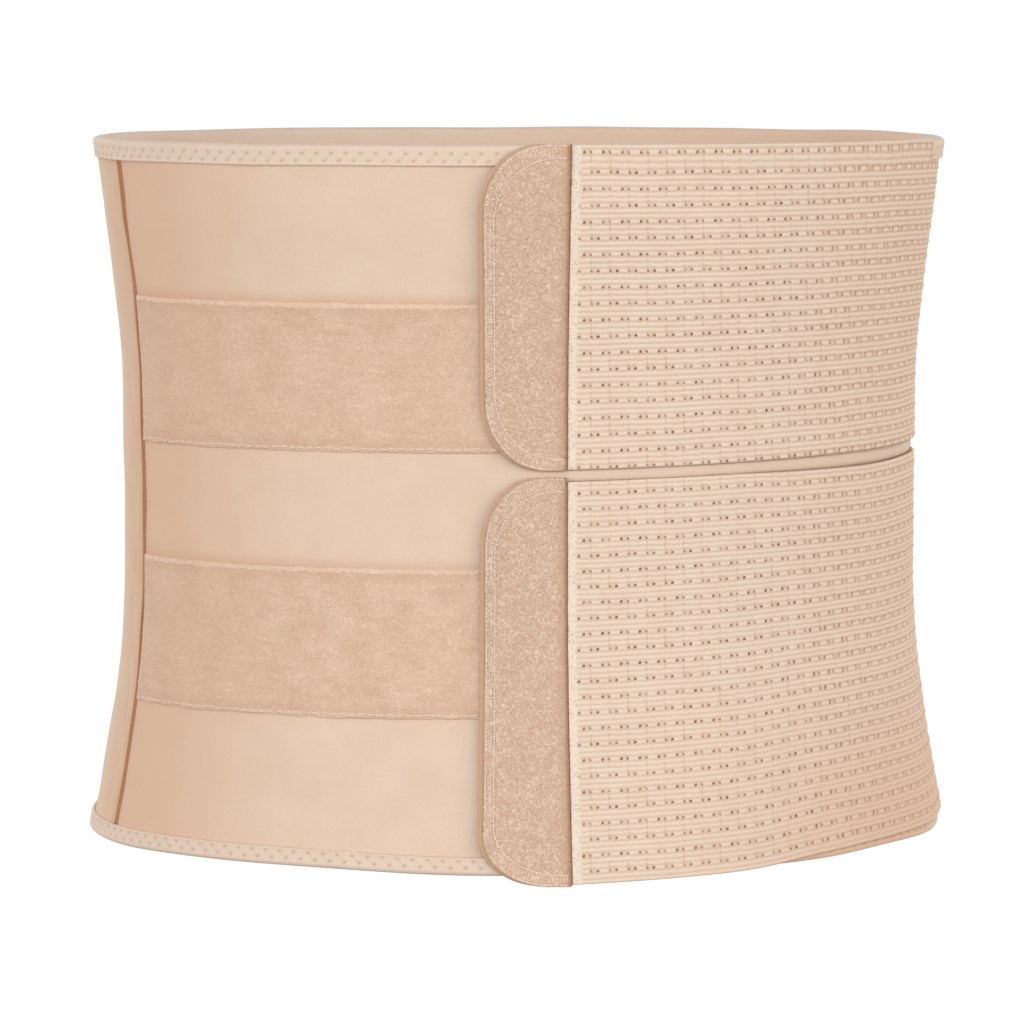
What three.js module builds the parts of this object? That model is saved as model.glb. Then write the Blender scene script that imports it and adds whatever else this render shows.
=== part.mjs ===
import * as THREE from 'three';

// Abdominal binder, closed as it is worn. Millimetres, +Z up, the front faces -Y.
// The straps come round the +X side and the side seam is on the -X side.
// The origin is the centre of the waist opening, halfway up the belt.

// The waist under the belt
const waistWidth = 267;
const waistDepth = 198.5;
const outlinePower = 2.3;

// Belt and hems
const beltHeight = 244;
const panelThickness = 2.4;
const hemThickness = 1.0;
const hemTopHeight = 7.2;
const hemBottomHeight = 6.2;
const hemRound = 0.6;
const layerGap = 0.3;
const endGap = 0.4;

// Places along the cloth, measured round the waist from the front centre
const seamReach = 144.5;
const seamWidth = 0.8;
const seamThickness = 1.4;
const frontReach = 155;

// Loop strips
const stripWidth = 50;
const stripThickness = 1.0;
const stripUpperLevel = 43.8;
const stripLowerLevel = -45.1;
const stripInset = 1.0;
const stripTuck = 4;

// Straps
const strapReach = 236;
const strapThickness = 1.8;
const strapSettleLength = 26;
const strapTuck = 12;
const ribDepth = 0.45;
const ribEdge = 0.25;
const upperRibRows = 19;
const lowerRibRows = 25;
const ribInset = 4;

// Tabs and the hook tape under them
const tabReach = 9.6;
const tabWidth = 26.6;
const tabThickness = 1.3;
const tabRim = 0.5;
const tabUpperRise = 0.3;
const tabUpperDrop = 0.2;
const tabLowerRise = 1.5;
const tabLowerDrop = 0.6;
const cornerWidth = 20;
const cornerHeight = 23;
const lowerCornerHeight = 17;
const hookThickness = 1.0;
const hookShow = 1.6;

// Fineness of the facets
const columnPitch = 12;
const cornerSteps = 6;
const girthSteps = 1440;

// Hourglass of the body: level is a share of half the belt's height,
// width and depth are shares of the waist's.
const sections = [
  { level: -1.05, width: 1.100, depth: 1.125 },
  { level: -1.00, width: 1.093, depth: 1.120 },
  { level: -0.80, width: 1.058, depth: 1.088 },
  { level: -0.60, width: 1.028, depth: 1.050 },
  { level: -0.45, width: 1.011, depth: 1.026 },
  { level: -0.30, width: 1.002, depth: 1.008 },
  { level: -0.10, width: 1.000, depth: 1.000 },
  { level: 0.15, width: 1.002, depth: 1.000 },
  { level: 0.40, width: 1.008, depth: 1.010 },
  { level: 0.60, width: 1.025, depth: 1.034 },
  { level: 0.80, width: 1.049, depth: 1.068 },
  { level: 1.00, width: 1.070, depth: 1.098 },
];

// Bottom edge of the belt: around is a share of half the girth, negative towards the side seam,
// and lift is how far the edge rises, a share of the belt's height.
const footLine = [
  { around: -1.00, lift: 0.016 },
  { around: -0.37, lift: 0.011 },
  { around: -0.21, lift: 0.010 },
  { around: -0.03, lift: 0.001 },
  { around: 0.13, lift: 0.003 },
  { around: 0.26, lift: 0.010 },
  { around: 0.33, lift: 0.018 },
  { around: 0.42, lift: 0.018 },
  { around: 1.00, lift: 0.016 },
];

// Edges of the two straps: run is the share of the way from the tab to the sewn end,
// and the levels are shares of half the belt's height.
const strapEdges = [
  { run: 0.00, upperTop: 1.000, upperFoot: 0.110, lowerTop: 0.077, lowerFoot: -1.0185 },
  { run: 0.15, upperTop: 1.000, upperFoot: 0.117, lowerTop: 0.085, lowerFoot: -1.004 },
  { run: 0.26, upperTop: 1.000, upperFoot: 0.124, lowerTop: 0.091, lowerFoot: -0.989 },
  { run: 0.36, upperTop: 1.000, upperFoot: 0.130, lowerTop: 0.093, lowerFoot: -0.961 },
  { run: 0.46, upperTop: 1.000, upperFoot: 0.136, lowerTop: 0.095, lowerFoot: -0.944 },
  { run: 0.55, upperTop: 0.998, upperFoot: 0.140, lowerTop: 0.099, lowerFoot: -0.935 },
  { run: 0.62, upperTop: 0.986, upperFoot: 0.143, lowerTop: 0.104, lowerFoot: -0.931 },
  { run: 0.80, upperTop: 0.986, upperFoot: 0.146, lowerTop: 0.108, lowerFoot: -0.904 },
  { run: 1.00, upperTop: 0.986, upperFoot: 0.150, lowerTop: 0.112, lowerFoot: -0.904 },
];

// Colours, as they show in even light
const finishes = {
  panel: { color: 0xe3cab4, roughness: 0.92 },
  hem: { color: 0xe4cebb, roughness: 0.9 },
  seam: { color: 0xb4886a, roughness: 0.95 },
  loop: { color: 0xdabaa1, roughness: 1.0 },
  elastic: { color: 0xe2cbb7, roughness: 0.9 },
  tab: { color: 0xd6b69f, roughness: 1.0 },
  hook: { color: 0xb98f72, roughness: 0.8 },
};

const halfHeight = beltHeight / 2;
const strapBase = panelThickness + layerGap + hemThickness + layerGap;
const sewnBase = panelThickness + layerGap;
const tabStart = -tabReach;
const tabEnd = tabStart + tabWidth;
const strapStart = tabEnd + endGap;
const hookBase = strapBase;
const tabBase = hookBase + hookThickness + layerGap;

// Reads a column of a table at a place between its rows, straight between them and beyond them.
function readTable(rows, key, column, at) {
  let i = 0;
  while (i < rows.length - 2 && at > rows[i + 1][key]) i += 1;
  const share = (at - rows[i][key]) / (rows[i + 1][key] - rows[i][key]);
  return rows[i][column] + (rows[i + 1][column] - rows[i][column]) * share;
}

// Point of the body's outline at a turn about the Z axis, 0 at the front and positive towards +X.
function outlinePoint(turn, halfWidth, halfDepth) {
  const power = 2 / outlinePower;
  const across = Math.sin(turn);
  const along = Math.cos(turn);
  return {
    x: halfWidth * Math.sign(across) * Math.abs(across) ** power,
    y: -halfDepth * Math.sign(along) * Math.abs(along) ** power,
  };
}

// Lengths round the waist from the front centre, at even turns up to the back centre.
function measureGirth() {
  const lengths = [0];
  let last = outlinePoint(0, waistWidth / 2, waistDepth / 2);
  for (let i = 1; i <= girthSteps; i += 1) {
    const next = outlinePoint((Math.PI * i) / girthSteps, waistWidth / 2, waistDepth / 2);
    lengths.push(lengths[i - 1] + Math.hypot(next.x - last.x, next.y - last.y));
    last = next;
  }
  return lengths;
}

const girthLengths = measureGirth();
const halfGirth = girthLengths[girthSteps];
const wholeGirth = 2 * halfGirth;

// Turn about the Z axis of a place given by its length round the waist.
function turnAt(girth) {
  const wrapped = girth - wholeGirth * Math.round(girth / wholeGirth);
  const length = Math.abs(wrapped);
  let low = 0;
  let high = girthSteps;
  while (high - low > 1) {
    const middle = (low + high) >> 1;
    if (girthLengths[middle] <= length) low = middle;
    else high = middle;
  }
  const share = (length - girthLengths[low]) / (girthLengths[high] - girthLengths[low]);
  return (Math.sign(wrapped) * Math.PI * (low + share)) / girthSteps;
}

// Point at a length round the waist and a level, lifted off the body by so much cloth.
function bodyPoint(girth, level, lift) {
  const share = level / halfHeight;
  const halfWidth = (waistWidth / 2) * readTable(sections, 'level', 'width', share);
  const halfDepth = (waistDepth / 2) * readTable(sections, 'level', 'depth', share);
  const { x, y } = outlinePoint(turnAt(girth), halfWidth, halfDepth);
  const slope = outlinePower - 1;
  const outX = (Math.sign(x) * Math.abs(x / halfWidth) ** slope) / halfWidth;
  const outY = (Math.sign(y) * Math.abs(y / halfDepth) ** slope) / halfDepth;
  const size = Math.hypot(outX, outY);
  return [x + (outX / size) * lift, y + (outY / size) * lift, level];
}

// Level of the belt's bottom edge at a length round the waist.
function footLevel(girth) {
  const around = (girth - wholeGirth * Math.round(girth / wholeGirth)) / halfGirth;
  return -halfHeight + beltHeight * readTable(footLine, 'around', 'lift', around);
}

// Smooth step from 0 to 1 while a value goes from start to end.
function ease(value, start, end) {
  const share = Math.min(1, Math.max(0, (value - start) / (end - start)));
  return share * share * (3 - 2 * share);
}

// How far a strap's inner face is off the body: over the hems, then down onto the back panel.
function strapLift(girth) {
  const settleEnd = strapReach - strapTuck;
  return strapBase + (sewnBase - strapBase) * ease(girth, settleEnd - strapSettleLength, settleEnd);
}

// Lengths round the waist at which facets begin, the same on every layer.
function columns(from, to) {
  const shared = [-seamReach, frontReach, strapReach, wholeGirth - seamReach];
  for (let k = Math.ceil(from / columnPitch); k * columnPitch < to; k += 1) shared.push(k * columnPitch);
  const spare = columnPitch / 6;
  const inside = shared.filter((girth) => girth > from + spare && girth < to - spare).sort((a, b) => a - b);
  const kept = inside.filter((girth, i) => i === 0 || girth - inside[i - 1] > spare);
  return [from, ...kept, to];
}

// Levels of the body's sections that lie well inside a stretch of the belt's height.
function levelsInside(foot, top) {
  const spare = beltHeight / 60;
  return sections.map((row) => row.level * halfHeight).filter((level) => level > foot + spare && level < top - spare);
}

// Triangles that close one end of a swept piece, in the order of its profile.
function capFaces(ring) {
  const contour = ring.map(([x, y, z]) => new THREE.Vector2(Math.hypot(x, y), z));
  return THREE.ShapeUtils.triangulateShape(contour, []).map(([a, b, c]) => {
    const ab = contour[b].clone().sub(contour[a]);
    const ac = contour[c].clone().sub(contour[a]);
    return ab.cross(ac) > 0 ? [a, b, c] : [a, c, b];
  });
}

// Solid of cloth swept round the body. The profile at each length is a loop of [lift, level] pairs
// that goes up the outer face and down the inner one.
function clothPiece(name, finish, girths, profileAt) {
  const rings = girths.map((girth) => profileAt(girth).map(([lift, level]) => bodyPoint(girth, level, lift)));
  const size = rings[0].length;
  const faces = [];
  for (let i = 0; i + 1 < rings.length; i += 1) {
    for (let j = 0; j < size; j += 1) {
      const next = (j + 1) % size;
      const near = i * size;
      const far = near + size;
      faces.push(near + j, far + j, far + next, near + j, far + next, near + next);
    }
  }
  const last = (rings.length - 1) * size;
  capFaces(rings[0]).forEach(([a, b, c]) => faces.push(a, b, c));
  capFaces(rings[rings.length - 1]).forEach(([a, b, c]) => faces.push(last + a, last + c, last + b));
  const geometry = new THREE.BufferGeometry();
  geometry.setAttribute('position', new THREE.Float32BufferAttribute(rings.flat(2), 3));
  geometry.setIndex(faces);
  geometry.computeVertexNormals();
  const material = new THREE.MeshStandardMaterial({ ...finishes[finish], metalness: 0, flatShading: true });
  const mesh = new THREE.Mesh(geometry, material);
  mesh.name = name;
  return mesh;
}

// Profile of a flat layer of cloth, bent at the body's sections.
function layerProfile(base, thickness, foot, top, levels) {
  const outer = [foot, ...levels, top].map((level) => [base + thickness, level]);
  const inner = [top, ...[...levels].reverse(), foot].map((level) => [base, level]);
  return [...outer, ...inner];
}

// Panels reach up inside the folded hems.
function panel(name, from, to) {
  const tuck = hemThickness + layerGap;
  const top = halfHeight - tuck;
  const levels = levelsInside(-halfHeight + hemBottomHeight, top);
  return clothPiece(name, 'panel', columns(from, to), (girth) =>
    layerProfile(0, panelThickness, footLevel(girth) + tuck, top, levels));
}

function frontPanel() {
  return panel('front_panel', -seamReach + seamWidth / 2 + layerGap, frontReach);
}

function backPanel() {
  return panel('back_panel', frontReach + endGap, wholeGirth - seamReach - seamWidth / 2 - layerGap);
}

// The seam is sunk below the faces of the two panels.
function sideSeam() {
  const tuck = hemThickness + layerGap;
  const top = halfHeight - tuck;
  const levels = levelsInside(-halfHeight + hemBottomHeight, top);
  const half = seamWidth / 2;
  return clothPiece('side_seam', 'seam', [-seamReach - half, -seamReach + half], (girth) =>
    layerProfile(0, seamThickness, footLevel(girth) + tuck, top, levels));
}

// How far the top hem's outer leg is off the body: over the strap where that is sewn in, else over the panel.
function hemLift(girth) {
  if (girth < frontReach + endGap || girth > strapReach + strapTuck) return sewnBase;
  const overStrap = strapLift(girth) + strapThickness + layerGap;
  return overStrap + (sewnBase - overStrap) * ease(girth, strapReach + layerGap, strapReach + strapTuck);
}

// Folded binding: an outer leg, a rounded fold over the belt's edge and an inner leg.
// The side is 1 for the top edge and -1 for the bottom one.
function hem(name, height, side, edgeAt, liftAt) {
  const from = frontReach + endGap;
  const girths = columns(from, from + wholeGirth - endGap);
  girths.splice(girths.findIndex((girth) => girth > strapReach), 0, strapReach + layerGap);
  return clothPiece(name, 'hem', girths, (girth) => {
    const edge = edgeAt(girth);
    const leg = edge - side * height;
    const fold = edge - side * hemThickness;
    const shoulder = edge - side * hemRound;
    const lift = liftAt(girth);
    const outer = lift + hemThickness;
    const inner = -layerGap - hemThickness;
    const loop = [
      [outer, leg], [outer, shoulder], [outer - hemRound, edge], [inner + hemRound, edge], [inner, shoulder],
      [inner, leg], [-layerGap, leg], [-layerGap, fold], [lift, fold], [lift, leg],
    ];
    return side > 0 ? loop : loop.reverse();
  });
}

function topHem() {
  return hem('hem_top', hemTopHeight, 1, () => halfHeight, hemLift);
}

// The bottom hem lies on the panel all round, because the lower strap ends above it where it settles.
function bottomHem() {
  return hem('hem_bottom', hemBottomHeight, -1, footLevel, () => sewnBase);
}

// Loop strips lie on the front panel, from beside the seam to under the straps.
function loopStrip(name, level) {
  const foot = level - stripWidth / 2;
  const top = level + stripWidth / 2;
  const levels = levelsInside(foot, top);
  const girths = columns(-seamReach + seamWidth / 2 + layerGap + stripInset, frontReach - stripTuck);
  return clothPiece(name, 'loop', girths, () =>
    layerProfile(panelThickness + layerGap, stripThickness, foot, top, levels));
}

// Strap of ribbed elastic. Its outer face sinks at each row of eyelets.
function strap(name, rows, footColumn, topColumn) {
  const edge = (girth, column) =>
    halfHeight * readTable(strapEdges, 'run', column, (girth - strapStart) / (strapReach - strapStart));
  const girths = columns(strapStart, strapReach);
  const highestFoot = Math.max(...girths.map((girth) => edge(girth, footColumn)));
  const lowestTop = Math.min(...girths.map((girth) => edge(girth, topColumn)));
  const innerLevels = levelsInside(highestFoot, lowestTop).reverse();
  return clothPiece(name, 'elastic', girths, (girth) => {
    const foot = edge(girth, footColumn);
    const top = edge(girth, topColumn);
    const base = strapLift(girth);
    const face = base + strapThickness;
    const pitch = (top - foot - 2 * ribInset) / (rows - 1);
    const outer = [[face - ribEdge, foot]];
    for (let row = 0; row < rows; row += 1) {
      const level = foot + ribInset + row * pitch;
      if (row > 0) outer.push([face, level - pitch / 2]);
      outer.push([face - ribDepth, level]);
    }
    outer.push([face - ribEdge, top]);
    return [...outer, [base, top], ...innerLevels.map((level) => [base, level]), [base, foot]];
  });
}

// Outline of a tab: how far its top and foot draw in at its rounded free corners.
function cornerDrawIn(distance, height) {
  const share = Math.min(1, Math.max(0, 1 - distance / cornerWidth));
  return height * (1 - Math.sqrt(1 - share * share));
}

// Columns of a tab, closest round its corners.
function tabColumns(start, end) {
  const girths = [];
  for (let i = 0; i <= cornerSteps; i += 1) {
    girths.push(start + cornerWidth * (1 - Math.cos((Math.PI / 2) * (i / cornerSteps))));
  }
  return [...girths, end];
}

// Tab and hook tape share this outline. The rim is lower than the face.
function tabLayer(name, finish, start, end, base, thickness, rim, foot, top, footCorner) {
  const levels = levelsInside(foot + footCorner, top - cornerHeight);
  return clothPiece(name, finish, tabColumns(start, end), (girth) => {
    const low = foot + cornerDrawIn(girth - start, footCorner);
    const high = top - cornerDrawIn(girth - start, cornerHeight);
    const face = girth === start ? base + thickness - rim : base + thickness;
    return [
      [base + thickness - rim, low], [face, low + rim], ...levels.map((level) => [face, level]),
      [face, high - rim], [base + thickness - rim, high], [base, high],
      ...[...levels].reverse().map((level) => [base, level]), [base, low],
    ];
  });
}

// A tab reaches a little past its strap's edges above and below.
function tabSpan(footColumn, topColumn, rise, drop) {
  const end = strapEdges[0];
  return { foot: halfHeight * end[footColumn] - drop, top: halfHeight * end[topColumn] + rise };
}

const upperSpan = tabSpan('upperFoot', 'upperTop', tabUpperRise, tabUpperDrop);
const lowerSpan = tabSpan('lowerFoot', 'lowerTop', tabLowerRise, tabLowerDrop);

function tab(name, { foot, top }, footCorner) {
  return tabLayer(name, 'tab', tabStart, tabEnd, tabBase, tabThickness, tabRim, foot, top, footCorner);
}

function hookTape(name, { foot, top }, footCorner) {
  const start = tabStart - hookShow;
  return tabLayer(name, 'hook', start, tabEnd, hookBase, hookThickness, hookThickness / 4, foot, top, footCorner);
}

const binder = new THREE.Group();
binder.name = 'abdominal_binder';
binder.add(
  frontPanel(),
  backPanel(),
  sideSeam(),
  topHem(),
  bottomHem(),
  loopStrip('loop_strip_upper', stripUpperLevel),
  loopStrip('loop_strip_lower', stripLowerLevel),
  strap('strap_upper', upperRibRows, 'upperFoot', 'upperTop'),
  strap('strap_lower', lowerRibRows, 'lowerFoot', 'lowerTop'),
  hookTape('hook_upper', upperSpan, cornerHeight),
  hookTape('hook_lower', lowerSpan, lowerCornerHeight),
  tab('tab_upper', upperSpan, cornerHeight),
  tab('tab_lower', lowerSpan, lowerCornerHeight),
);

export default binder;
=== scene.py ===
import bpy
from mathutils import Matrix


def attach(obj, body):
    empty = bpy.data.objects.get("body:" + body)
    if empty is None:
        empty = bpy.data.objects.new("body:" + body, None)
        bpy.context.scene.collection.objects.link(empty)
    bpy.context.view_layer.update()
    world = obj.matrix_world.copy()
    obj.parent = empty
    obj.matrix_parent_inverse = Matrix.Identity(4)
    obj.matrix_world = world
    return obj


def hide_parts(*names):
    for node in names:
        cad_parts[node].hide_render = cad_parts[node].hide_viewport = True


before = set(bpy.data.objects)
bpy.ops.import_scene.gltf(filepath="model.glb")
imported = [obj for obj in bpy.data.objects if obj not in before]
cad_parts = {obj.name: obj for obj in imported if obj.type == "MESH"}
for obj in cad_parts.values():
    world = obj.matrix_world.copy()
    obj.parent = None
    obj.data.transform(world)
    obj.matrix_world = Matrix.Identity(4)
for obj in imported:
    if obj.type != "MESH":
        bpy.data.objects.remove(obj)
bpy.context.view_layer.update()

import math

import bmesh
import bpy
import numpy as np

# Cloth, stitching and light of the binder. Cloth is laid out in millimetres: girth is the length round the
# waist from the front centre, positive towards +X, level the height and lift the distance off the body.
MM = 0.001
TAU = 2 * math.pi

# The waist under the belt
WAIST_WIDTH = 267.0
WAIST_DEPTH = 198.5
OUTLINE_POWER = 2.3

# Belt and hems
HALF_HEIGHT = 122.0
PANEL_THICKNESS = 2.4
HEM_THICKNESS = 1.0
HEM_TOP_HEIGHT = 7.2
HEM_BOTTOM_HEIGHT = 6.2
LAYER_GAP = 0.3
ON_PANEL = PANEL_THICKNESS + LAYER_GAP
TUCK = HEM_THICKNESS + LAYER_GAP
END_GAP = 0.4
PRESSED = 0.4
FOLD_ROUND = 1.7
HEM_SETTLE = 12.0
HEM_CLEARANCE = 0.15
ZIGZAG_PERIOD = 4.65
ZIGZAG_NEAR = 3.1
ZIGZAG_FAR = 5.7
SEAM_REACH = 144.5
SEAM_WIDTH = 2.2
SEAM_TWIST = 2.4
SEAM_FACE = 1.95
SEAM_CROWN = 0.25
FRONT_REACH = 155.0

# Loop strips
STRIP_WIDTH = 50.0
STRIP_LEVELS = {"upper": 43.8, "lower": -45.1}
STRIP_THICKNESS = 1.0
STRIP_FACE = ON_PANEL + STRIP_THICKNESS - 0.12
STRIP_START = -142.8
STRIP_END = 151.0
BEAD_PERIOD = 3.1
BEAD_LENGTH = 2.3
BEAD_INSET = 1.25

# Straps, tabs and hook tapes
STRAP_REACH = 236.0
STRAP_THICKNESS = 1.8
STRAP_BASE = 4.0
SEWN_BASE = ON_PANEL
SETTLE_START = 198.0
SETTLE_END = 224.0
TAB_START = -9.6
TAB_END = 17.0
TAB_BASE = 5.3
TAB_THICKNESS = 1.3
HOOK_SHOW = 1.6
HOOK_THICKNESS = 1.0
HOOK_PITCH = 0.9
HOOK_ROW = 1.1
CORNER_WIDTH = 20.0
DITCH_END = TAB_END + 0.33
STRAP_START = TAB_END + END_GAP
SLIT_BAND = 4.6
FINE_REACH = 165.0
FINE_PITCH = 0.6
COARSE_PITCH = 0.92
END_ROWS = (3.2, 6.4)
END_STITCH = 2.2
END_STITCH_PITCH = 3.0

# Hourglass of the body: level as a share of half the belt's height, width and depth as shares of the waist's
SECTIONS = (
    (-1.05, 1.100, 1.125),
    (-1.00, 1.093, 1.120),
    (-0.80, 1.058, 1.088),
    (-0.60, 1.028, 1.050),
    (-0.45, 1.011, 1.026),
    (-0.30, 1.002, 1.008),
    (-0.10, 1.000, 1.000),
    (0.15, 1.002, 1.000),
    (0.40, 1.008, 1.010),
    (0.60, 1.025, 1.034),
    (0.80, 1.049, 1.068),
    (1.00, 1.070, 1.098),
)

# Bottom edge of the belt: place as a share of half the girth, rise as a share of the belt's height
FOOT_LINE = (
    (-1.00, 0.016),
    (-0.37, 0.011),
    (-0.21, 0.010),
    (-0.03, 0.001),
    (0.13, 0.003),
    (0.26, 0.010),
    (0.33, 0.018),
    (0.42, 0.018),
    (1.00, 0.016),
)

# Edges of the straps: share of the way from the tab to the sewn end, then levels as shares of half the height
STRAP_EDGES = (
    # run, upper top, upper foot, lower top, lower foot
    (0.00, 1.000, 0.110, 0.077, -1.0185),
    (0.15, 1.000, 0.117, 0.085, -1.004),
    (0.26, 1.000, 0.124, 0.091, -0.989),
    (0.36, 1.000, 0.130, 0.093, -0.961),
    (0.46, 1.000, 0.136, 0.095, -0.944),
    (0.55, 1.000, 0.140, 0.099, -0.935),
    (0.62, 0.998, 0.143, 0.104, -0.931),
    (0.80, 0.986, 0.146, 0.108, -0.904),
    (1.00, 0.986, 0.150, 0.112, -0.904),
)

# Eyelet rows of each strap: how far the first two lie from the top edge and the last from the foot, their
# number, whether the first has its strong eyelets on the left, and the steps of mesh from row to row
KNITS = {
    "upper": {"first": 2.6, "second": 9.3, "last": 6.2, "rows": 19, "left_first": True, "row_steps": 12},
    "lower": {"first": 4.0, "second": 9.2, "last": 4.2, "rows": 25, "left_first": False, "row_steps": 9},
}
EYELET_ORIGIN = 22.8
EYELET_PERIOD = 6.15
ROW_PITCH = 5.4
RIBS = 3
WEAK_SHIFT = 0.345
TIE_SHIFT = 0.02
WEAK_SHIFT_ODD = 0.05
STRONG_SHIFT_ODD = 0.745
PAIR_SHIFT = 0.172
PAIR_SHIFT_ODD = 0.395
SELVAGE = 2.6

# Tabs: levels of foot and top and heights of their free corners
TABS = {
    "upper": {"foot": 13.22, "top": 122.3, "foot_corner": 23.0, "top_corner": 23.0},
    "lower": {"foot": -124.86, "top": 10.89, "foot_corner": 17.0, "top_corner": 23.0},
}
BORDER_END = TAB_END - 0.9

# How far in from the sides of a tab its inner line and its edge thread lie
INNER_LINE = {"side": 3.2, "top": 4.7, "foot": 3.9, "corner": 1.0}
EDGE_LINE = {"side": 0.55, "top": 0.55, "foot": 0.55, "corner": 0.0}


# Helpers for shapes
def ease(value, start, end):
    """Smooth step from 0 to 1 while the value goes from start to end."""
    share = np.clip((value - start) / (end - start), 0.0, 1.0)
    return share * share * (3 - 2 * share)


def frac(value):
    return value - np.floor(value)


def bump(value, width, power=2):
    """Rounded bump, 1 where the value is 0."""
    return np.exp(-((value / width) ** power))


def join(*arrays):
    return np.concatenate(arrays, axis=-1)


def read_smooth(table, column, at):
    """Reads a column of a table between its rows, on a smooth curve."""
    keys = np.array([row[0] for row in table], float)
    values = np.array([row[column] for row in table], float)
    slopes = np.gradient(values, keys)
    at = np.asarray(at, float)
    i = np.clip(np.searchsorted(keys, at, side="right") - 1, 0, len(keys) - 2)
    span = keys[i + 1] - keys[i]
    t = np.clip((at - keys[i]) / span, -0.5, 1.5)
    return (
        (2 * t**3 - 3 * t**2 + 1) * values[i]
        + (t**3 - 2 * t**2 + t) * span * slopes[i]
        + (3 * t**2 - 2 * t**3) * values[i + 1]
        + (t**3 - t**2) * span * slopes[i + 1]
    )


def outline(turn, half_width, half_depth):
    """Point of the body's outline at a turn about the Z axis, 0 at the front."""
    across, along = np.sin(turn), np.cos(turn)
    power = 2 / OUTLINE_POWER
    x = half_width * np.sign(across) * np.abs(across) ** power
    y = -half_depth * np.sign(along) * np.abs(along) ** power
    return x, y


def lengths_along(x, y):
    """Length along a line of points, up to each of them."""
    return join([0.0], np.cumsum(np.hypot(np.diff(x), np.diff(y))))


TURNS = np.linspace(0, math.pi, 4001)
GIRTH_LENGTHS = lengths_along(*outline(TURNS, WAIST_WIDTH / 2, WAIST_DEPTH / 2))
HALF_GIRTH = GIRTH_LENGTHS[-1]
WHOLE_GIRTH = 2 * HALF_GIRTH


def wrap(girth):
    return girth - WHOLE_GIRTH * np.round(girth / WHOLE_GIRTH)


def place(girth, level, lift):
    """Points in metres for places on the cloth in millimetres."""
    girth, level, lift = np.broadcast_arrays(*(np.asarray(v, float) for v in (girth, level, lift)))
    round_it = wrap(girth)
    turn = np.sign(round_it) * np.interp(np.abs(round_it), GIRTH_LENGTHS, TURNS)
    share = level / HALF_HEIGHT
    half_width = WAIST_WIDTH / 2 * read_smooth(SECTIONS, 1, share)
    half_depth = WAIST_DEPTH / 2 * read_smooth(SECTIONS, 2, share)
    x, y = outline(turn, half_width, half_depth)
    slope = OUTLINE_POWER - 1
    out_x = np.sign(x) * np.abs(x / half_width) ** slope / half_width
    out_y = np.sign(y) * np.abs(y / half_depth) ** slope / half_depth
    size = np.hypot(out_x, out_y)
    return MM * np.stack([x + out_x / size * lift, y + out_y / size * lift, level], axis=-1)


def foot_level(girth):
    """Level of the belt's bottom edge."""
    return -HALF_HEIGHT + 2 * HALF_HEIGHT * read_smooth(FOOT_LINE, 1, wrap(girth) / HALF_GIRTH)


def strap_edge(girth, column):
    run = (girth - STRAP_START) / (STRAP_REACH - STRAP_START)
    return HALF_HEIGHT * read_smooth(STRAP_EDGES, column, run)


def strap_lift(girth):
    """Lift of a strap's inner face: over the hems, then down onto the back panel."""
    return STRAP_BASE + (SEWN_BASE - STRAP_BASE) * ease(girth, SETTLE_START, SETTLE_END)


def waves(u, v, size, seed, count=28):
    """Repeatable unevenness: ripples of about one length in all directions, with a spread of 1."""
    rng = np.random.default_rng(seed)
    total = 0.0
    for _ in range(count):
        heading, shift = rng.uniform(0, TAU, 2)
        length = size * rng.uniform(0.7, 1.4)
        total = total + np.sin(TAU / length * (u * math.cos(heading) + v * math.sin(heading)) + shift)
    return total * math.sqrt(2 / count)


def curls(u, v, size, seed):
    """Winding ridges, 1 on the crests and 0 in the hollows between them."""
    return np.clip(1 - np.abs(waves(u, v, size, seed)) * 1.1, 0, 1)


def rim_drop(distance, width, depth):
    """How far a face has sunk at its rounded rim, or an edge has drawn in at a round corner."""
    share = np.clip(1 - distance / width, 0, 1)
    return depth * (1 - np.sqrt(1 - share * share))


def spread(length, pitch, rim):
    """Distances from 0 to a length at about one pitch, closer at both rounded rims."""
    near = rim * np.array([0.0, 0.08, 0.25, 0.55])
    steps = max(2, int(round((length - 2 * rim) / pitch)) + 1)
    return join(near, np.linspace(rim, length - rim, steps), (length - near)[::-1])


def add_object(name, data):
    made = bpy.data.objects.new(name, data)
    bpy.context.scene.collection.objects.link(made)
    return made


def make_mesh(name, points, faces, marks, material, outward=False):
    """Object with smooth faces, given as arrays of equal corner counts, and with its places on the cloth."""
    corners = np.concatenate([group.ravel() for group in faces]).astype(np.int32)
    sizes = np.concatenate([np.full(len(group), group.shape[1]) for group in faces])
    starts = np.concatenate([[0], np.cumsum(sizes)[:-1]]).astype(np.int32)
    mesh = bpy.data.meshes.new(name)
    mesh.vertices.add(len(points))
    mesh.vertices.foreach_set("co", points.astype(np.float32).ravel())
    mesh.loops.add(len(corners))
    mesh.loops.foreach_set("vertex_index", corners)
    mesh.polygons.add(len(sizes))
    mesh.polygons.foreach_set("loop_start", starts)
    mesh.update(calc_edges=True)
    mesh.validate()
    if outward:
        work = bmesh.new()
        work.from_mesh(mesh)
        bmesh.ops.recalc_face_normals(work, faces=work.faces)
        work.to_mesh(mesh)
        work.free()
    for key, values in marks.items():
        made = mesh.attributes.new(key, "FLOAT_VECTOR", "POINT")
        made.data.foreach_set("vector", values.astype(np.float32).ravel())
    mesh.shade_smooth()
    mesh.materials.append(material)
    return add_object(name, mesh)


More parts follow.
